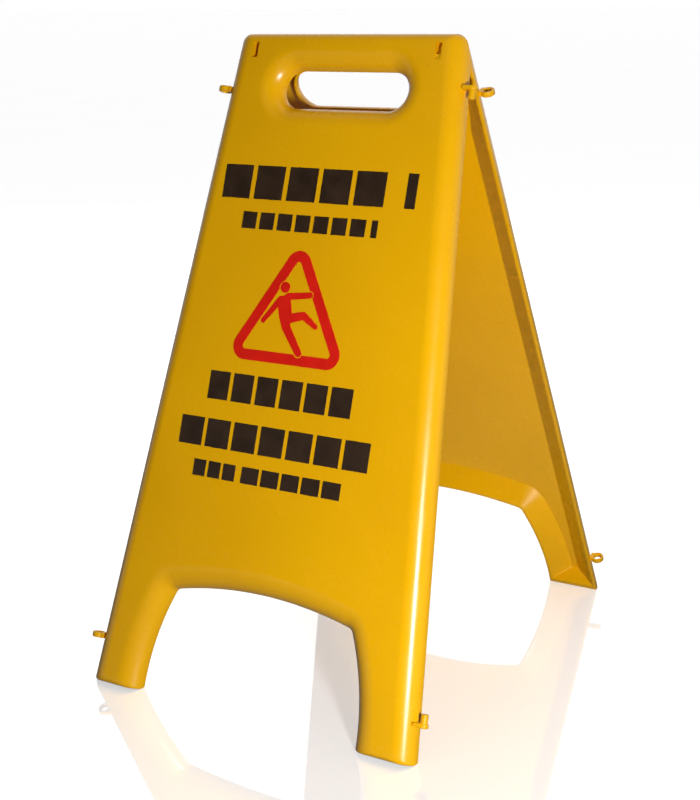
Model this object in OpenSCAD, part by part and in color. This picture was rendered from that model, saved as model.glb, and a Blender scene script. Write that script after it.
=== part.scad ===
// Free-standing wet floor sign: two identical moulded panels hinged near the top,
// with a hand hole, a foot arch, link lugs on the edges and a print on both faces.
// X is the width, the front panel faces -Y, Z is up from the floor.
// Inside a panel's own frame the hinge line is at z = 0 and the rim is at y = 0.

/* [Panels] */
// Width across the rim at the hinge line
top_w = 240; // [220:1:280]
// Width across the rim at the floor
base_w = 343; // [320:1:380]
// Panel length from the hinge line down to the floor
leg_len = 592; // [560:1:640]
// Panel height above the hinge line
crown_h = 27; // [24:1:34]
// Depth of each panel from rim to face
shell_d = 18; // [16:0.5:22]
// Wall thickness of the moulding
wall_t = 2.5; // [2:0.1:3.5]
// Thickness of the closed sole under each foot
sole_t = 4; // [3:0.5:6]
// Radius of the two top corners
corner_r = 9; // [6:0.5:14]
// Lean of each panel when the sign stands open
tilt = 20; // [15:0.5:24]

/* [Hand hole] */
// Width of the hand hole
hand_w = 130; // [110:1:140]
// Height of the hand hole
hand_h = 35.5; // [30:0.5:40]
// Distance from the hinge line down to the hand hole
hand_drop = 5.5; // [5:0.5:12]

/* [Foot arch] */
// Distance from the hinge line down to the top of the arch
arch_drop = 484; // [460:1:500]
// Sideways offset of the arch from the panel centre
arch_shift = -2.5; // [-4:0.5:4]
// Radius of the shallow curve over the arch
crown_r = 400; // [340:10:600]
// Radius of the curve inside each leg
side_r = 240; // [220:10:320]
// Radius of the arch corners
fillet_r = 7; // [6:1:16]
// Half width of the arch at the floor
arch_half = 115.5; // [110:0.5:124]

/* [Hinge] */
// Distance of each hinge station from the centre
hinge_x = 95; // [90:1:100]
// Radius of the hinge eyes
eye_r = 7; // [6:0.5:8]
// Radius of the hinge pins
pin_r = 3; // [2.5:0.1:3.5]
// Radial clearance of the turning eye on its pin
pin_play = 0.05; // [0.02:0.01:0.1]
// Thickness of the single middle eye
tongue_t = 6; // [5:0.5:8]
// Thickness of each outer eye
fork_t = 4; // [3:0.5:5]
// Gap between the eyes
eye_gap = 0.4; // [0.3:0.1:0.8]
// Width of the moulding slot in the face
slot_w = 6.2; // [5:0.1:6.6]
// Height of the moulding slot in the face
slot_h = 14.5; // [12:0.5:15]
// Distance from the hinge line up to the slot
slot_low = 2.5; // [2:0.5:3]
// Depth of the pocket behind the slot
pocket_d = 7; // [5:0.5:8]

/* [Link lugs] */
// Distance from the hinge line down to the upper lugs
upper_lug = 26; // [24:0.5:40]
// Distance from the hinge line down to the lower lugs
lower_lug = 553; // [520:0.5:560]
// Distance of the ring centre outside the panel edge
ring_reach = 5.8; // [5.5:0.1:10]
// Distance of the hook post outside the panel edge
hook_reach = 6.8; // [6.8:0.1:10]
// Outer radius of the link ring
ring_r = 6.4; // [6:0.1:6.6]
// Hole radius of the link ring
ring_hole_r = 3.8; // [3.5:0.1:4.5]
// Thickness of the link ring
ring_t = 5; // [4:0.5:6]
// Radius of the hook post
post_r = 3.2; // [2.8:0.1:3.4]
// Thickness of the hook plate
plate_t = 3.7; // [3:0.1:5]

/* [Print] */
// Thickness of the printed layer
ink_t = 0.3; // [0.2:0.1:0.5]
// Sideways offset of the print from the panel centre
print_shift = -11; // [-12:1:12]
// Distance from the hinge line down to the base of the triangle
print_drop = 266.5; // [260:0.5:272]
// Half width of the clear field inside the triangle
tri_half = 48.5; // [40:0.5:52]
// Height of the clear field inside the triangle
tri_h = 86; // [70:1:90]
// Stroke width of the triangle
tri_stroke = 10; // [8:0.5:12]

/* [Hidden] */
// Round surfaces and the small offset that keeps cuts clean
$fn = 48;
eps = 0.01;
// Sheet on which the two rims meet when the sign is folded
rim_gap = 0.3;
// Clearance between the two stop faces above the hinge
stop_gap = 0.4;
hinge_z = leg_len * cos(tilt);
// The sole starts a little lower than the floor line and is trimmed flat by the floor
sole_drop = leg_len + 2;
side_a = atan((base_w - top_w) / 2 / leg_len);
corner_x = half_w(crown_h - corner_r) - corner_r / cos(side_a);
// Centres of the arch curves
crown_c = [0, -(arch_drop + crown_r)];
side_c = [arch_half - side_r, -(leg_len + 2)];
fillet_c = circle_meet(crown_c, crown_r - fillet_r, side_c, side_r - fillet_r);
lug_h = shell_d / 2 - 0.5;
fork_x = tongue_t / 2 + eye_gap;
post_len = ring_t + 3;

yellow = [0.90, 0.70, 0.03];
red = [0.85, 0.13, 0.06];
dark = [0.13, 0.10, 0.08];
steel = [0.70, 0.71, 0.72];

// Half width of the panel rim at height z
function half_w(z) = top_w / 2 - z * tan(side_a);

// Points along an arc
function arc_points(centre, r, from, to, steps) =
    [for (i = [0:steps]) let (a = from + (to - from) * i / steps) centre + r * [cos(a), sin(a)]];

// Right-hand meeting point of two circles
function circle_meet(c1, r1, c2, r2) =
    let (
        d = norm(c2 - c1),
        along = (d * d + r1 * r1 - r2 * r2) / (2 * d),
        across = sqrt(r1 * r1 - along * along),
        dir = (c2 - c1) / d
    )
    c1 + along * dir + across * [-dir[1], dir[0]] * (dir[1] > 0 ? -1 : 1);

// Angle of the line from one point to another
function aim(from, to) = atan2(to[1] - from[1], to[0] - from[0]);

// Right half of the arch opening, widened by grow, from the floor up to the middle
function arch_half_points(grow) =
    let (
        r = side_r + grow,
        low = asin((-(sole_drop + 6) - side_c[1]) / r),
        turn_side = aim(side_c, fillet_c),
        turn_crown = aim(crown_c, fillet_c)
    )
    concat(
        arc_points(side_c, r, low, turn_side, 8),
        arc_points(fillet_c, fillet_r + grow, turn_side, turn_crown, 6),
        arc_points(crown_c, crown_r + grow, turn_crown, 90, 6)
    );

function mirrored(points) = [for (i = [len(points) - 1:-1:0]) [-points[i][0], points[i][1]]];

module arch_area(grow) {
    right = arch_half_points(grow);
    translate([arch_shift, 0]) polygon(concat(right, mirrored(right)));
}

// Panel outline, drawn inwards by inset, with the bottom edge at height bottom
module outline_area(inset, bottom) {
    corner = arc_points([corner_x, crown_h - corner_r], corner_r - inset, side_a, 90, 8);
    right = concat([[half_w(bottom) - inset / cos(side_a), bottom]], corner);
    polygon(concat(right, mirrored(right)));
}

// Hand hole, widened by grow
module hand_area(grow) {
    end_r = hand_h / 2;
    translate([0, -hand_drop - end_r]) {
        square([hand_w - hand_h, hand_h + 2 * grow], center = true);
        for (side = [-1, 1]) translate([side * (hand_w - hand_h) / 2, 0]) circle(r = end_r + grow);
    }
}

// Prism standing on the panel plane, from depth near to depth far
module panel_prism(near, far) {
    translate([0, -near, 0]) rotate([90, 0, 0]) linear_extrude(far - near) children();
}

// Slab across X, drawn in the Y and Z plane and centred at x
module cross_slab(x, thick) {
    translate([x - thick / 2, 0, 0]) rotate([90, 0, 90]) linear_extrude(thick) children();
}

// One hinge eye with its web to the face, centred at x
module hinge_eye(x, thick) {
    cross_slab(x, thick) {
        circle(r = eye_r);
        translate([-(shell_d - wall_t), -eye_r]) square([shell_d - wall_t, 2 * eye_r]);
    }
}

module hinge_bore(x, thick, r) {
    translate([x - thick / 2 - 1, 0, 0]) rotate([0, 90, 0]) cylinder(r = r, h = thick + 2);
}

// The moulded shell without its hinge eyes
module shell() {
    difference() {
        union() {
            hollow_shell();
            for (side = [-1, 1]) slot_box(side, 1.5, -shell_d + wall_t - 0.5, -shell_d + pocket_d + 1.5);
        }
        for (side = [-1, 1]) slot_box(side, 0, -shell_d - 1, -shell_d + pocket_d);
    }
}

module hollow_shell() {
    difference() {
        panel_prism(rim_gap, shell_d) difference() {
            outline_area(0, -sole_drop);
            arch_area(0);
            hand_area(0);
        }
        panel_prism(rim_gap - 1, shell_d - wall_t) difference() {
            outline_area(wall_t, -sole_drop + sole_t);
            arch_area(wall_t);
            hand_area(wall_t);
        }
    }
}

// Box round a moulding slot, widened by grow, from one depth to another
module slot_box(side, grow, from, to) {
    wide = slot_w + 2 * grow;
    translate([side * hinge_x - wide / 2, from, slot_low - grow]) cube([wide, to - from, slot_h + 2 * grow]);
}

// Leans a piece of the front panel out to its place in the standing sign
module stand_front() {
    translate([0, 0, hinge_z]) rotate([-tilt, 0, 0]) children();
}

// The rear half is the front half turned about the vertical
module stand_rear() {
    rotate([0, 0, 180]) stand_front() children();
}

// One complete moulding: the soles trimmed to the floor, the upper walls to the stop plane
module moulding() {
    difference() {
        stand_front() shell();
        translate([-base_w, -leg_len, -50]) cube([2 * base_w, 2 * leg_len, 50]);
        translate([-base_w, -stop_gap / 2, hinge_z]) cube([2 * base_w, leg_len, 2 * crown_h]);
    }
    stand_front() hinge_knuckles();
}

// Fork on the left and tongue on the right
module hinge_knuckles() {
    fork_places = [-hinge_x - fork_x - fork_t / 2, -hinge_x + fork_x + fork_t / 2];
    difference() {
        union() {
            hinge_eye(hinge_x, tongue_t);
            for (x = fork_places) hinge_eye(x, fork_t);
        }
        hinge_bore(hinge_x, tongue_t, pin_r + pin_play);
        hinge_bore(-hinge_x, 2 * (fork_x + fork_t), pin_r);
    }
}

module front_panel() {
    color(yellow) moulding();
}

module rear_panel() {
    color(yellow) rotate([0, 0, 180]) moulding();
}

// Plain pin with a low head on its inner end, centred on the left hinge station
module hinge_pin() {
    span = 2 * (fork_x + fork_t);
    color(steel) translate([-hinge_x, 0, hinge_z]) rotate([0, 90, 0]) {
        translate([0, 0, -span / 2]) cylinder(r = pin_r, h = span + 0.5);
        translate([0, 0, span / 2]) cylinder(r = pin_r + 1.4, h = 1.5);
    }
}

module left_hinge_pin() {
    hinge_pin();
}

module right_hinge_pin() {
    rotate([0, 0, 180]) hinge_pin();
}

// Keeps only what lies outside the panel edge, so that a lug butts on the wall
module outside_panel() {
    difference() {
        children();
        panel_prism(-5, shell_d + 5) outline_area(0, -sole_drop);
    }
}

// Moves a lug to its place outside the left (-1) or right (1) panel edge
module lug_place(side, reach, drop) {
    translate([side * (half_w(-drop) + reach), -lug_h, -drop]) children();
}

// Flat eye with its hole parallel to the panel edge
module link_ring(drop) {
    web = ring_reach + 2;
    color(yellow) outside_panel() lug_place(-1, ring_reach, drop) difference() {
        union() {
            translate([0, 0, -ring_t / 2]) cylinder(r = ring_r, h = ring_t);
            translate([0, -ring_r * 0.7, -ring_t / 2]) cube([web, ring_r * 1.4, ring_t]);
        }
        translate([0, 0, -ring_t]) cylinder(r = ring_hole_r, h = 2 * ring_t);
    }
}

// Plate with a round post that points up or down along the panel edge
module link_hook(drop, post_way) {
    arm = hook_reach + 2;
    plate_r = post_r + 1.2;
    color(yellow) outside_panel() lug_place(1, hook_reach, drop) mirror([0, 0, post_way > 0 ? 0 : 1]) {
        translate([0, 0, -post_len / 2]) cylinder(r = post_r, h = post_len + eps);
        translate([0, 0, -post_len / 2 - plate_t]) cylinder(r = plate_r, h = plate_t);
        translate([-arm, -plate_r, -post_len / 2 - plate_t]) cube([arm, 2 * plate_r, plate_t]);
    }
}

module front_upper_hook() {
    stand_front() link_hook(upper_lug, -1);
}

module front_lower_hook() {
    stand_front() link_hook(lower_lug, 1);
}

module front_upper_ring() {
    stand_front() link_ring(upper_lug);
}

module front_lower_ring() {
    stand_front() link_ring(lower_lug);
}

module rear_upper_hook() {
    stand_rear() link_hook(upper_lug, -1);
}

module rear_lower_hook() {
    stand_rear() link_hook(lower_lug, 1);
}

module rear_upper_ring() {
    stand_rear() link_ring(upper_lug);
}

module rear_lower_ring() {
    stand_rear() link_ring(lower_lug);
}

// Straight stroke with round ends that may differ in radius
module stroke(from, from_r, to, to_r) {
    hull() {
        translate(from) circle(r = from_r, $fn = 32);
        translate(to) circle(r = to_r, $fn = 32);
    }
}

// Lays a flat drawing on the face; its origin is the middle of the triangle's base line
module on_face() {
    panel_prism(shell_d, shell_d + ink_t) translate([print_shift, -print_drop]) children();
}

// Clear field of the triangle with slightly round corners
module triangle_field() {
    offset(r = 3, $fn = 48) offset(delta = -3) polygon([[-tri_half, 0], [tri_half, 0], [0, tri_h]]);
}

// A plain slipping figure: round head, body, two arms and two legs
module figure_area() {
    hip = [-6, 35];
    knee = [13, 35.3];
    translate([-10.4, 59]) circle(r = 5, $fn = 32);
    hull() {
        translate([-12.8, 47]) circle(r = 4, $fn = 32);
        translate([-6.6, 48]) circle(r = 4, $fn = 32);
        translate(hip) circle(r = 6.8, $fn = 32);
    }
    stroke(hip, 6.8, [-3.6, 24], 4.4);
    stroke([-3.6, 24], 4.4, [13.6, 1.4], 3.4);
    stroke([-1, 31.5], 4.4, knee, 3.6);
    stroke(knee, 3.6, [27, 26.6], 2.4);
    stroke([-6, 51], 3.2, [16.8, 54], 2.8);
    stroke([-14, 47], 3.2, [-28.6, 27.4], 2.4);
}

// The triangle keeps a thin clear line round the figure
module triangle_print() {
    color(red) on_face() difference() {
        offset(r = tri_stroke, $fn = 96) triangle_field();
        triangle_field();
        offset(r = 1, $fn = 32) figure_area();
    }
}

module figure_print() {
    color(red) on_face() figure_area();
}

// A row of plain blocks; each block is [left edge, width]
module block_row(blocks, bottom, tall) {
    for (block = blocks) translate([block[0], bottom]) square([block[1], tall]);
}

// Equal blocks that fill the span from left to right
function even_blocks(left, right, count, gap) =
    let (w = (right - left - gap * (count - 1)) / count)
    [for (i = [0:count - 1]) [left + i * (w + gap), w]];

module block_print() {
    gap = 4;
    first = concat(even_blocks(-95, 76, 5, gap + 1), [[97, 10]]);
    second = concat(even_blocks(-68, 62, 7, gap), [[68, 6]]);
    last = concat(even_blocks(-79, -33, 3, gap - 1), even_blocks(-26, 78, 5, gap - 1));
    color(dark) on_face() {
        block_row(first, 137, 31);
        block_row(second, 109.5, 15.5);
        block_row(even_blocks(-76, 76, 6, gap), -49.5, 26);
        block_row(even_blocks(-100, 101, 7, gap), -93.5, 26);
        block_row(last, -121, 15);
    }
}

module front_triangle_print() {
    stand_front() triangle_print();
}

module front_figure_print() {
    stand_front() figure_print();
}

module front_block_print() {
    stand_front() block_print();
}

module rear_triangle_print() {
    stand_rear() triangle_print();
}

module rear_figure_print() {
    stand_rear() figure_print();
}

module rear_block_print() {
    stand_rear() block_print();
}

front_panel();
rear_panel();
left_hinge_pin();
right_hinge_pin();
front_upper_hook();
front_lower_hook();
front_upper_ring();
front_lower_ring();
rear_upper_hook();
rear_lower_hook();
rear_upper_ring();
rear_lower_ring();
front_triangle_print();
front_figure_print();
front_block_print();
rear_triangle_print();
rear_figure_print();
rear_block_print();
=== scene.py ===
from math import atan, atan2, cos, hypot, pi, radians, sin, sqrt, tan

import bmesh
import bpy
from mathutils import Matrix, Vector


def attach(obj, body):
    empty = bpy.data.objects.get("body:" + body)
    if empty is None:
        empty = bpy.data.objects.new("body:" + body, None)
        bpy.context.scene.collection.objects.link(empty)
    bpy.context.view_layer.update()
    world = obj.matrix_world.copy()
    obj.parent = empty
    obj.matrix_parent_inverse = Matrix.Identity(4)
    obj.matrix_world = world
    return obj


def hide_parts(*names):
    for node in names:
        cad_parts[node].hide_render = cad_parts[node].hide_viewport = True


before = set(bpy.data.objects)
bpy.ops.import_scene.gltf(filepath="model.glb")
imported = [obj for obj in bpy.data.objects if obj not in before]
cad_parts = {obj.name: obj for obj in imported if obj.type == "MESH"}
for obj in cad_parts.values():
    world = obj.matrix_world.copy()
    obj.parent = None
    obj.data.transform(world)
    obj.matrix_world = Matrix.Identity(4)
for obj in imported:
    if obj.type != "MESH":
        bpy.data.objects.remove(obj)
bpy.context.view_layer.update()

# Millimetres to metres
MM = 0.001

# Panel shape in millimetres. In a panel's own frame the hinge line is z = 0,
# the rim is y = 0 and the face is y = -SHELL_D.
TOP_W = 240
BASE_W = 343
LEG_LEN = 592
CROWN_H = 27
SHELL_D = 18
WALL_T = 2.5
SOLE_T = 4
SOLE_DROP = LEG_LEN + 2
TILT = radians(20)
RIM_GAP = 0.3
STOP_GAP = 0.4
HINGE_Z = LEG_LEN * cos(TILT)
SIDE_A = atan((BASE_W - TOP_W) / 2 / LEG_LEN)
DRAFT = tan(radians(4))
LIP = 0.5

# Round corners and edges of the outside
CORNER_R = 9.6
TOP_ROUND = 8.3
TOP_INNER_ROUND = 4
SIDE_REACH = 17
SIDE_DEPTH = 15
FOOT_ROUND = 5
FOOT_CORNER = 0.6
FOOT_CORNER_GROWTH = 4.5
INNER_CORNER_GROWTH = 1.2

# The inside of a panel slopes from the rim down to the back of the face
SIDE_SLOPE = 24
SIDE_SLOPE_TOP = 15
SIDE_SLOPE_START = -10
SIDE_SLOPE_FULL = -60
ARCH_SLOPE = 22
SOLE_RISE = 15

# Hand hole and its funnel
HAND_W = 130
HAND_H = 35.5
HAND_DROP = 5.5
FUNNEL_REACH = 20
FUNNEL_DEPTH = 17.4

# Foot arch and its round edge
ARCH_DROP = 484
ARCH_HALF = 115.5
ARCH_SHIFT = -2.5
CROWN_R = 400
SIDE_R = 240
FILLET_R = 7
ARCH_REACH = 22
ARCH_DEPTH = 17.4

# Hinge stations
HINGE_X = 95
EYE_R = 7
EYE_HOLE_R = 3.05
EYE_EDGE = 0.5
EYE_ROOT = 0.8
TONGUE_T = 6
FORK_T = 4
EYE_GAP = 0.4
SLOT_W = 6.2
SLOT_LOW = 2.5
SLOT_H = 14.5
SLOT_CORNER = 0.7
POCKET_D = 7
POCKET_WALL = 1.5

# Link lugs on the panel edges
UPPER_LUG = 26
LOWER_LUG = 553
RING_REACH = 5.8
HOOK_REACH = 6.8
LUG_DEPTH = 8.5
LUG_ROOT = 1.6
LUG_EDGE = 0.9
RING_R = 6.4
RING_HOLE_R = 3.8
RING_T = 5
POST_R = 3.2
POST_LEN = 8
PLATE_R = 4.4
PLATE_T = 3.7

# Depth steps from the rim to the face, as shares of the way: close at the lip and at the face
LIP_STEPS = [0.0, 0.0085, 0.028]
ROUND_STEPS = 16
LEVELS = LIP_STEPS + [sin(pi / 2 * k / ROUND_STEPS) for k in range(1, ROUND_STEPS + 1)]

# Edges that turn by more than this are shaded crisp
SHARP_TURN = radians(35)


def half_width(z):
    """Half width of the rim at height z."""
    return TOP_W / 2 - z * tan(SIDE_A)


def rounded(h, far, depth, reach):
    """Inset at depth h of a round edge that is `depth` deep and `reach` wide and ends at `far`."""
    share = min(1.0, max(0.0, (h - far + depth) / depth))
    return reach * (1 - sqrt(1 - share * share))


class OuterSkin:
    """The outside of a panel: its inset at each depth. Every edge of the face is round."""

    far = SHELL_D
    lip_way = 1

    def top(self, h, lip):
        return lip + h * DRAFT + rounded(h, self.far, TOP_ROUND, TOP_ROUND)

    def side(self, h, lip, z):
        return lip + h * DRAFT + rounded(h, self.far, SIDE_DEPTH, SIDE_REACH)

    def sole(self, h, lip):
        inset = lip + rounded(h, self.far, FOOT_ROUND, FOOT_ROUND)
        return max(-SOLE_DROP + inset, -LEG_LEN - h * tan(TILT) + lip)

    def arch(self, h, lip):
        return lip + rounded(h, self.far, ARCH_DEPTH, ARCH_REACH)

    def hand(self, h, lip):
        return lip + rounded(h, self.far, FUNNEL_DEPTH, FUNNEL_REACH)

    def foot_corner(self, h):
        return FOOT_CORNER + FOOT_CORNER_GROWTH * (h / self.far) ** 2


class InnerSkin:
    """The inside of a panel. Its side, sole and arch walls slope down to the back of the face."""

    far = SHELL_D - WALL_T
    lip_way = -1

    def slope(self, h, lip, reach):
        return WALL_T + lip + (reach - WALL_T) * h / self.far

    def top(self, h, lip):
        return WALL_T + lip + h * DRAFT + rounded(h, self.far, TOP_INNER_ROUND, TOP_INNER_ROUND)

    def side(self, h, lip, z):
        way = (z - SIDE_SLOPE_START) / (SIDE_SLOPE_FULL - SIDE_SLOPE_START)
        share = min(1.0, max(0.0, way))
        return self.slope(h, lip, SIDE_SLOPE_TOP + (SIDE_SLOPE - SIDE_SLOPE_TOP) * share)

    def sole(self, h, lip):
        return -LEG_LEN + SOLE_T + lip + h * (SOLE_RISE / self.far - tan(TILT))

    def arch(self, h, lip):
        return self.slope(h, lip, ARCH_SLOPE)

    def hand(self, h, lip):
        depth = FUNNEL_DEPTH - WALL_T
        return WALL_T + lip + rounded(h, self.far, depth, FUNNEL_REACH - WALL_T)

    def foot_corner(self, h):
        return FOOT_CORNER + INNER_CORNER_GROWTH * h / self.far


def meeting(c1, r1, c2, r2):
    """Right-hand meeting point of two circles."""
    dx, dz = c2[0] - c1[0], c2[1] - c1[1]
    d = hypot(dx, dz)
    along = (d * d + r1 * r1 - r2 * r2) / (2 * d)
    across = sqrt(r1 * r1 - along * along)
    flip = -1 if dz > 0 else 1
    return (
        c1[0] + along * dx / d - flip * across * dz / d,
        c1[1] + along * dz / d + flip * across * dx / d,
    )


def aim(start, end):
    return atan2(end[1] - start[1], end[0] - start[0])


def on_circle(centre, r, angle):
    return centre[0] + r * cos(angle), centre[1] + r * sin(angle)


CROWN_C = (0, -(ARCH_DROP + CROWN_R))
SIDE_C = (ARCH_HALF - SIDE_R, -(LEG_LEN + 2))
FILLET_C = meeting(CROWN_C, CROWN_R - FILLET_R, SIDE_C, SIDE_R - FILLET_R)


def steps(start, end, count):
    """`count` values from start to end, both included."""
    return [start + (end - start) * i / (count - 1) for i in range(count)]


def top_corner_circle(skin, h, lip):
    """Centre and radius of the round corner between the top and the side."""
    r = CORNER_R - skin.top(h, lip)
    z = CROWN_H - CORNER_R
    x = half_width(z) - (skin.side(h, lip, z) + r) / cos(SIDE_A)
    return (x, z), r


def outer_foot(skin, h, lip):
    """Centre and radius of the round corner between the side and the sole."""
    r = skin.foot_corner(h)
    z = skin.sole(h, lip) + r
    x = half_width(z) - (skin.side(h, lip, z) + r) / cos(SIDE_A)
    return (x, z), r


def inner_foot(skin, h, lip, side_c):
    """Centre and radius of the round corner between the sole and the arch."""
    r = skin.foot_corner(h)
    z = skin.sole(h, lip) + r
    reach = SIDE_R + skin.arch(h, lip) + r
    return (side_c[0] + sqrt(reach**2 - (z - side_c[1]) ** 2), z), r


def half_outline(skin, shift):
    """Right half of the outline from the top centre round to the arch centre.

    Each station is a function of depth and lip that gives x and z.
    The arch stands off the panel centre by shift.
    """
    side_c, fillet_c, crown_c = [(x + shift, z) for x, z in (SIDE_C, FILLET_C, CROWN_C)]
    turn_side = aim(side_c, fillet_c)
    turn_crown = aim(crown_c, fillet_c)

    def top(share):
        def place(h, lip):
            (x, z), r = top_corner_circle(skin, h, lip)
            return x * share, z + r

        return place

    def top_corner(angle):
        return lambda h, lip: on_circle(*top_corner_circle(skin, h, lip), angle)

    def side(z):
        def place(h, lip):
            d = skin.side(h, lip, z)
            return half_width(z) - d * cos(SIDE_A), z - d * sin(SIDE_A)

        return place

    def foot(angle):
        def place(h, lip):
            centre, r = outer_foot(skin, h, lip)
            return on_circle(centre, r, angle)

        return place

    def sole(share):
        def place(h, lip):
            (x1, z), _ = outer_foot(skin, h, lip)
            (x2, _), r = inner_foot(skin, h, lip, side_c)
            return x1 + (x2 - x1) * share, z - r

        return place

    def arch_foot(share):
        def place(h, lip):
            centre, r = inner_foot(skin, h, lip, side_c)
            end = aim(centre, side_c)
            start = -pi / 2
            return on_circle(centre, r, start + (end - start) * share)

        return place

    def arch_side(share):
        def place(h, lip):
            centre, _ = inner_foot(skin, h, lip, side_c)
            start = aim(side_c, centre)
            angle = start + (turn_side - start) * share
            return on_circle(side_c, SIDE_R + skin.arch(h, lip), angle)

        return place

    def arch_fillet(angle):
        return lambda h, lip: on_circle(fillet_c, FILLET_R + skin.arch(h, lip), angle)

    def arch_crown(angle):
        return lambda h, lip: on_circle(crown_c, CROWN_R + skin.arch(h, lip), angle)

    stations = [top(share) for share in steps(0, 1, 8)[:-1]]
    stations += [top_corner(a) for a in steps(pi / 2, SIDE_A, 10)]
    stations += [side(z) for z in [6, 0.24] + steps(-15, -575, 12)]
    stations += [foot(a) for a in steps(SIDE_A, -pi / 2, 9)]
    stations += [sole(s) for s in steps(0, 1, 6)[1:-1]]
    stations += [arch_foot(s) for s in steps(0, 1, 8)]
    stations += [arch_side(s) for s in steps(0, 1, 14)[1:-1]]
    stations += [arch_fillet(a) for a in steps(turn_side, turn_crown, 9)]
    stations += [arch_crown(a) for a in steps(turn_crown, pi / 2, 12)[1:]]
    return stations


def hand_outline(skin):
    """The hand hole as stations, all the way round."""
    end_r = HAND_H / 2
    end_x = (HAND_W - HAND_H) / 2
    z = -HAND_DROP - end_r

    def end(side, angle):
        centre = (side * end_x, z)
        return lambda h, lip: on_circle(centre, end_r + skin.hand(h, lip), angle)

    def edge(x, way):
        return lambda h, lip: (x, z + way * (end_r + skin.hand(h, lip)))

    stations = [end(1, a) for a in steps(pi / 2, -pi / 2, 25)]
    stations += [edge(x, -1) for x in steps(end_x, -end_x, 7)[1:-1]]
    stations += [end(-1, a) for a in steps(-pi / 2, -3 * pi / 2, 25)]
    stations += [edge(x, 1) for x in steps(-end_x, end_x, 7)[1:-1]]
    return stations


def rim_depth(z):
    """Depth at which the wall starts: the rim sheet, or the stop plane above the hinge."""
    return max(RIM_GAP, z * tan(TILT) + STOP_GAP / 2 / cos(TILT))


def station_column(skin, place):
    """Points of one station at every level."""
    near = rim_depth(place(RIM_GAP, 0)[1])
    column = []
    for share in LEVELS:
        h = near + (skin.far - near) * share
        rise = 1 - min(1.0, (h - near) / LIP)
        lip = LIP * (1 - sqrt(1 - rise * rise))
        x, z = place(h, skin.lip_way * lip)
        column.append(Vector((x, -h, z)))
    return column


def levels_of(skin, stations):
    """One ring of points per level."""
    return list(zip(*[station_column(skin, place) for place in stations]))


def outline_rings(skin):
    rights = levels_of(skin, half_outline(skin, ARCH_SHIFT))
    lefts = levels_of(skin, half_outline(skin, -ARCH_SHIFT))
    rings = []
    for right, left in zip(rights, lefts):
        mirrored = [Vector((-p.x, p.y, p.z)) for p in left[-2:0:-1]]
        rings.append(list(right) + mirrored)
    return rings


def add_rings(bm, rings):
    """Joins closed rings of points in a row, and returns the rings as vertices."""
    rows = [[bm.verts.new(p) for p in ring] for ring in rings]
    for row, following in zip(rows, rows[1:]):
        join_rows(bm, row, following)
    return rows


def join_rows(bm, row, following):
    count = len(row)
    for i in range(count):
        j = (i + 1) % count
        bm.faces.new((row[i], row[j], following[j], following[i]))


def fill(bm, loops):
    """Fills the flat area between closed loops of vertices."""
    edges = []
    for loop in loops:
        for a, b in zip(loop, loop[1:] + loop[:1]):
            edges.append(bm.edges.get((a, b)) or bm.edges.new((a, b)))
    bmesh.ops.triangle_fill(bm, use_beauty=True, edges=edges)


def slot_ring(side, y, grow):
    """Outline of a moulding slot with small round corners."""
    points = []
    half = SLOT_W / 2 - SLOT_CORNER + grow
    low = SLOT_LOW + SLOT_CORNER - grow
    high = SLOT_LOW + SLOT_H - SLOT_CORNER + grow
    quarters = [(half, high, 0), (-half, high, 90), (-half, low, 180), (half, low, 270)]
    for x, z, start in quarters:
        for angle in steps(radians(start), radians(start + 90), 4):
            px, pz = on_circle((side * HINGE_X + x, z), SLOT_CORNER, angle)
            points.append(Vector((px, y, pz)))
    return points


def add_shell(bm):
    outer, inner = OuterSkin(), InnerSkin()
    loops = {}
    for skin in (outer, inner):
        outline = add_rings(bm, outline_rings(skin))
        hand = add_rings(bm, [list(r) for r in levels_of(skin, hand_outline(skin))])
        loops[skin] = (outline, hand)
    for row_outer, row_inner in zip(loops[outer], loops[inner]):
        join_rows(bm, row_outer[0], row_inner[0])
    floor_y = POCKET_D - SHELL_D
    slots, pockets = [], []
    for side in (-1, 1):
        slots.append(add_rings(bm, [slot_ring(side, y, 0) for y in (-outer.far, floor_y)]))
        depths = (-inner.far, floor_y + POCKET_WALL)
        pockets.append(add_rings(bm, [slot_ring(side, y, POCKET_WALL) for y in depths]))
    fill(bm, [loops[outer][0][-1], loops[outer][1][-1]] + [rows[0] for rows in slots])
    fill(bm, [loops[inner][0][-1], loops[inner][1][-1]] + [rows[0] for rows in pockets])
    for rows in slots + pockets:
        fill(bm, [rows[-1]])


def soft_ends(length, edge, count=4):
    """(position, inset) pairs along a short prism whose two ends have round edges."""
    turn = [pi / 2 * k / (count - 1) for k in range(count)]
    near = [(edge * (1 - cos(a)), edge * (1 - sin(a))) for a in turn]
    far = [(length - at, inset) for at, inset in reversed(near)]
    return near + far


def add_prism(bm, outline, place, length, edge, hole=None):
    """A prism with round end edges. outline and hole give a ring for an inset."""
    rings, holes = [], []
    for at, inset in soft_ends(length, edge):
        rings.append([place(p, at) for p in outline(inset)])
        if hole:
            holes.append([place(p, at) for p in hole(inset)])
    rows = add_rings(bm, rings)
    bores = add_rings(bm, holes) if hole else None
    for end in (0, -1):
        fill(bm, [rows[end]] + ([bores[end]] if hole else []))


def circle_points(r, count):
    return [on_circle((0, 0), r, 2 * pi * k / count) for k in range(count)]


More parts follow.
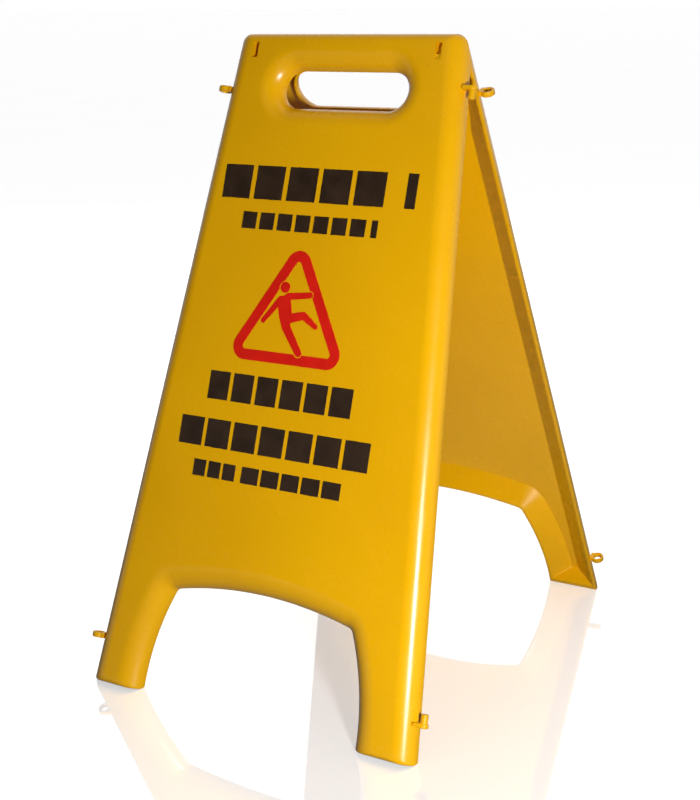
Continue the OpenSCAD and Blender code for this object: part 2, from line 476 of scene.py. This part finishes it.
def add_eye(bm, x, thick):
    """A hinge eye with its web down to the face."""
    root = -(SHELL_D - WALL_T) - EYE_ROOT

    def outline(inset):
        r = EYE_R - inset
        arc = [on_circle((0, 0), r, a) for a in steps(-pi / 2, pi / 2, 17)]
        return arc + [(root, r), (root, -r)]

    def hole(inset):
        return circle_points(EYE_HOLE_R + inset, 32)

    def place(point, at):
        return Vector((x - thick / 2 + at, point[0], point[1]))

    add_prism(bm, outline, place, thick, EYE_EDGE, hole)


def add_knuckles(bm):
    fork = TONGUE_T / 2 + EYE_GAP + FORK_T / 2
    add_eye(bm, HINGE_X, TONGUE_T)
    add_eye(bm, -HINGE_X - fork, FORK_T)
    add_eye(bm, -HINGE_X + fork, FORK_T)


def stand(bm, rear):
    """Moves a shape from the panel's own frame to its place in the standing sign."""
    turn = Matrix.Rotation(pi if rear else 0, 4, "Z")
    lean = Matrix.Translation((0, 0, HINGE_Z)) @ Matrix.Rotation(-TILT, 4, "X")
    bmesh.ops.transform(bm, matrix=Matrix.Scale(MM, 4) @ turn @ lean, verts=bm.verts)


def make_object(name, bm):
    """Turns the shape into a smooth-shaded object with crisp edges."""
    bmesh.ops.recalc_face_normals(bm, faces=bm.faces)
    for face in bm.faces:
        face.smooth = True
    for edge in bm.edges:
        edge.smooth = edge.calc_face_angle(0) < SHARP_TURN
    mesh = bpy.data.meshes.new(name)
    bm.to_mesh(mesh)
    bm.free()
    obj = bpy.data.objects.new(name, mesh)
    bpy.context.scene.collection.objects.link(obj)
    weighted = obj.modifiers.new("weighted_normals", "WEIGHTED_NORMAL")
    weighted.keep_sharp = True
    return obj


def panel(name, rear):
    bm = bmesh.new()
    add_shell(bm)
    add_knuckles(bm)
    stand(bm, rear)
    return make_object(name, bm)


def add_ring_lug(bm, drop):
    """Flat eye on the left edge with its hole parallel to the edge."""
    centre_x = -(half_width(-drop) + RING_REACH)
    web = RING_R * 0.7
    opening = atan2(web, sqrt(RING_R**2 - web**2))

    def outline(inset):
        r = RING_R - inset
        arc = [on_circle((0, 0), r, a) for a in steps(opening, 2 * pi - opening, 33)]
        root = RING_REACH + LUG_ROOT
        return arc + [(root, inset - web), (root, web - inset)]

    def hole(inset):
        return circle_points(RING_HOLE_R + inset, 32)

    def place(point, at):
        return Vector((centre_x + point[0], point[1] - LUG_DEPTH, at - RING_T / 2 - drop))

    add_prism(bm, outline, place, RING_T, LUG_EDGE, hole)


def add_hook_lug(bm, drop, way):
    """Plate with a round post on the right edge; way is 1 for a post that points up."""
    centre_x = half_width(-drop) + HOOK_REACH

    def plate(inset):
        r = PLATE_R - inset
        arc = [on_circle((0, 0), r, a) for a in steps(-pi / 2, pi / 2, 17)]
        root = -HOOK_REACH - LUG_ROOT
        return arc + [(root, r), (root, -r)]

    def post(inset):
        return circle_points(POST_R - inset, 32)

    def place_from(start):
        def place(point, at):
            z = way * (at + start) - drop
            return Vector((centre_x + point[0], point[1] - LUG_DEPTH, z))

        return place

    add_prism(bm, plate, place_from(-POST_LEN / 2 - PLATE_T), PLATE_T, LUG_EDGE)
    add_prism(bm, post, place_from(-POST_LEN / 2 - 1), POST_LEN + 1, LUG_EDGE)


def lug(name, rear, drop, way):
    """A link lug; way is 0 for a ring and the direction of the post for a hook."""
    bm = bmesh.new()
    if way == 0:
        add_ring_lug(bm, drop)
    else:
        add_hook_lug(bm, drop, way)
    stand(bm, rear)
    return make_object(name, bm)


# ---------------------------------------------------------------- materials


GRAIN_SCALE = 1400
GRAIN_HEIGHT = 0.0002


def map_node(tree, start, end, low, high):
    """A node that maps the range start to end onto low to high."""
    node = tree.nodes.new("ShaderNodeMapRange")
    values = {"From Min": start, "From Max": end, "To Min": low, "To Max": high}
    for key, value in values.items():
        node.inputs[key].default_value = value
    return node


class Nodes:
    """Small helper that adds shader nodes and links to one material."""

    def __init__(self, name):
        self.material = bpy.data.materials.new(name)
        self.material.use_nodes = True
        self.tree = self.material.node_tree
        self.shader = self.tree.nodes["Principled BSDF"]

    def add(self, kind, **inputs):
        node = self.tree.nodes.new(kind)
        for key, value in inputs.items():
            node.inputs[key.replace("_", " ")].default_value = value
        return node

    def link(self, source, target):
        self.tree.links.new(source, target)

    def set(self, **inputs):
        for key, value in inputs.items():
            self.shader.inputs[key.replace("_", " ")].default_value = value

    def noise(self, scale, detail, roughness=0.5):
        place = self.add("ShaderNodeTexCoord")
        noise = self.add("ShaderNodeTexNoise", Scale=scale, Detail=detail, Roughness=roughness)
        self.link(place.outputs["Object"], noise.inputs["Vector"])
        return noise.outputs["Fac"]

    def spread(self, source, low, high, start=0.3, end=0.7):
        """Maps a noise to the range low to high."""
        node = map_node(self.tree, start, end, low, high)
        self.link(source, node.inputs["Value"])
        return node.outputs["Result"]

    def tint(self, source, dark, light):
        """A colour that moves between two tones with the source."""
        ramp = self.add("ShaderNodeValToRGB")
        ramp.color_ramp.elements[0].position = 0.35
        ramp.color_ramp.elements[1].position = 0.65
        ramp.color_ramp.elements[0].color = (*dark, 1)
        ramp.color_ramp.elements[1].color = (*light, 1)
        self.link(source, ramp.inputs["Fac"])
        self.link(ramp.outputs["Color"], self.shader.inputs["Base Color"])

    def bump(self, source, strength, distance, below=None):
        node = self.add("ShaderNodeBump", Strength=strength, Distance=distance)
        self.link(source, node.inputs["Height"])
        if below:
            self.link(below, node.inputs["Normal"])
        return node.outputs["Normal"]

    def grain(self, strength, below=None):
        """Fine surface grain on the shader's normal, over another bump where one is given."""
        fine = self.bump(self.noise(GRAIN_SCALE, 2), strength, GRAIN_HEIGHT, below)
        self.link(fine, self.shader.inputs["Normal"])


def yellow_plastic():
    """Moulded yellow plastic: semi-gloss, with a fine grain and faint waviness."""
    n = Nodes("yellow_plastic_look")
    n.tint(n.noise(7, 3), (0.79, 0.395, 0.001), (0.83, 0.425, 0.001))
    n.link(n.spread(n.noise(35, 4), 0.22, 0.31), n.shader.inputs["Roughness"])
    n.grain(0.06, n.bump(n.noise(9, 1), 0.25, 0.0006))
    n.set(IOR=1.46)
    return n.material


def red_ink():
    n = Nodes("red_ink_look")
    n.tint(n.noise(60, 3), (0.66, 0.009, 0.003), (0.74, 0.012, 0.004))
    n.link(n.spread(n.noise(90, 3), 0.34, 0.44), n.shader.inputs["Roughness"])
    n.grain(0.08)
    return n.material


def dark_ink():
    n = Nodes("dark_ink_look")
    n.tint(n.noise(60, 3), (0.022, 0.011, 0.005), (0.034, 0.017, 0.008))
    n.link(n.spread(n.noise(90, 3), 0.34, 0.46), n.shader.inputs["Roughness"])
    n.grain(0.08)
    return n.material


def pin_steel():
    n = Nodes("steel_pin_look")
    n.tint(n.noise(300, 4), (0.50, 0.50, 0.50), (0.62, 0.62, 0.63))
    n.set(Metallic=1.0)
    n.link(n.spread(n.noise(500, 3), 0.25, 0.42), n.shader.inputs["Roughness"])
    n.link(n.bump(n.noise(900, 3), 0.1, 0.0002), n.shader.inputs["Normal"])
    return n.material


def floor_paint():
    """Pale polished studio floor that glows a little and mirrors the object."""
    n = Nodes("studio_floor")
    n.tint(n.noise(1.5, 2), (0.80, 0.80, 0.80), (0.82, 0.82, 0.82))
    n.set(Roughness=0.6, Emission_Strength=1.0)
    n.shader.inputs["Emission Color"].default_value = (1, 1, 1, 1)
    mirror = n.add("ShaderNodeBsdfGlossy", Roughness=0.04)
    mix = n.add("ShaderNodeMixShader", Fac=0.5)
    n.link(n.shader.outputs["BSDF"], mix.inputs[1])
    n.link(mirror.outputs["BSDF"], mix.inputs[2])
    n.link(mix.outputs["Shader"], n.tree.nodes["Material Output"].inputs["Surface"])
    return n.material


def paint(obj, material):
    obj.data.materials.clear()
    obj.data.materials.append(material)


# ------------------------------------------------------------------- pieces


def add_piece(obj, node, body, material):
    paint(obj, material)
    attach(obj, body)
    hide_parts(node)


def build_pieces():
    yellow = yellow_plastic()
    for half, rear in (("front", False), ("rear", True)):
        body = half + "_half"
        add_piece(panel(half + "_panel_shell", rear), half + "_panel", body, yellow)
        lugs = [
            ("upper_ring", UPPER_LUG, 0),
            ("lower_ring", LOWER_LUG, 0),
            ("upper_hook", UPPER_LUG, -1),
            ("lower_hook", LOWER_LUG, 1),
        ]
        for kind, drop, way in lugs:
            node = half + "_" + kind
            add_piece(lug(node + "_lug", rear, drop, way), node, body, yellow)


def paint_cad_nodes():
    red, dark, steel = red_ink(), dark_ink(), pin_steel()
    for half in ("front", "rear"):
        paint(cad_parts[half + "_triangle_print"], red)
        paint(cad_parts[half + "_figure_print"], red)
        paint(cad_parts[half + "_block_print"], dark)
    for side in ("left", "right"):
        paint(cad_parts[side + "_hinge_pin"], steel)


# -------------------------------------------------------------------- stage

FLOOR_HALF = 40.0
CAMERA_PLACE = Vector((0.6766, -1.1384, 0.6232))
CAMERA_TARGET = Vector((0.0142, 0.0, 0.2411))
CAMERA_ROLL = radians(-1.01)
CAMERA_LENS = 64.2
CAMERA_SHIFT = (-0.0264, 0.0038)
FRONT_LIGHT = 0.03
BACK_LIGHT = 1.0
BELOW_LIGHT = 0.25


def build_floor():
    bm = bmesh.new()
    bmesh.ops.create_grid(bm, x_segments=2, y_segments=2, size=FLOOR_HALF)
    mesh = bpy.data.meshes.new("studio_floor")
    bm.to_mesh(mesh)
    bm.free()
    floor = bpy.data.objects.new("studio_floor", mesh)
    bpy.context.scene.collection.objects.link(floor)
    paint(floor, floor_paint())
    floor.visible_diffuse = False
    floor.visible_glossy = False


def area_light(name, place, target, size, power, shine=False):
    """A lamp that the camera doesn't see. Only a lamp with shine is mirrored by anything."""
    data = bpy.data.lights.new(name, "AREA")
    data.shape = "RECTANGLE"
    data.size, data.size_y = size
    data.energy = power
    light = bpy.data.objects.new(name, data)
    light.location = place
    light.visible_glossy = shine
    light.visible_camera = False
    way = Vector(target) - Vector(place)
    light.rotation_euler = way.to_track_quat("-Z", "Y").to_euler()
    bpy.context.scene.collection.objects.link(light)


def build_world():
    """A studio wall: white behind the object and at the horizon, dim before it and underneath.

    It is only seen and mirrored; the lamps light the object.
    """
    world = bpy.data.worlds.new("studio")
    world.use_nodes = True
    tree = world.node_tree
    place = tree.nodes.new("ShaderNodeTexCoord")
    split = tree.nodes.new("ShaderNodeSeparateXYZ")
    room = map_node(tree, -0.3, 0.6, FRONT_LIGHT, BACK_LIGHT)
    away = map_node(tree, 0.01, 0.08, 0.0, 1.0)
    below = map_node(tree, -0.08, -0.04, BELOW_LIGHT, 1.0)
    both = tree.nodes.new("ShaderNodeMath")
    both.operation = "MULTIPLY"
    blend = tree.nodes.new("ShaderNodeMix")
    blend.inputs["A"].default_value = BACK_LIGHT
    background = tree.nodes["Background"]
    background.inputs["Color"].default_value = (1, 1, 1, 1)
    tree.links.new(place.outputs["Generated"], split.inputs["Vector"])
    tree.links.new(split.outputs["Y"], room.inputs["Value"])
    tree.links.new(split.outputs["Z"], away.inputs["Value"])
    tree.links.new(split.outputs["Z"], below.inputs["Value"])
    tree.links.new(away.outputs["Result"], blend.inputs["Factor"])
    tree.links.new(room.outputs["Result"], blend.inputs["B"])
    tree.links.new(blend.outputs["Result"], both.inputs[0])
    tree.links.new(below.outputs["Result"], both.inputs[1])
    tree.links.new(both.outputs["Value"], background.inputs["Strength"])
    bpy.context.scene.world = world
    world.cycles_visibility.diffuse = False


def build_lights():
    area_light("main", (0.83, -0.895, 0.36), (0.1, -0.1, 0.28), (0.09, 0.3), 14.5, shine=True)
    area_light("fill", (-0.4, -1.6, 2.4), (0, 0, 0.3), (1.2, 1.2), 7)
    area_light("back", (-0.9, 2.2, 1.3), (0, 0, 0.3), (1.6, 1.6), 40)
    area_light("bounce", (0, 0, 0.004), (0, 0, 1), (0.24, 0.24), 0.1)
    area_light("top", (0.3, 0.6, 2.6), (0, 0.2, 0), (2.2, 2.2), 20)


def build_camera():
    data = bpy.data.cameras.new("photo_camera")
    data.lens = CAMERA_LENS
    data.shift_x, data.shift_y = CAMERA_SHIFT
    data.clip_end = 200
    data.dof.use_dof = False
    camera = bpy.data.objects.new("photo_camera", data)
    turn = (CAMERA_TARGET - CAMERA_PLACE).to_track_quat("-Z", "Y").to_matrix()
    roll = Matrix.Rotation(CAMERA_ROLL, 3, "Z")
    camera.matrix_world = Matrix.Translation(CAMERA_PLACE) @ (turn @ roll).to_4x4()
    bpy.context.scene.collection.objects.link(camera)
    bpy.context.scene.camera = camera


def set_view():
    scene = bpy.context.scene
    scene.view_settings.view_transform = "Standard"
    scene.view_settings.look = "None"


build_pieces()
paint_cad_nodes()
build_floor()
build_world()
build_lights()
build_camera()
set_view()
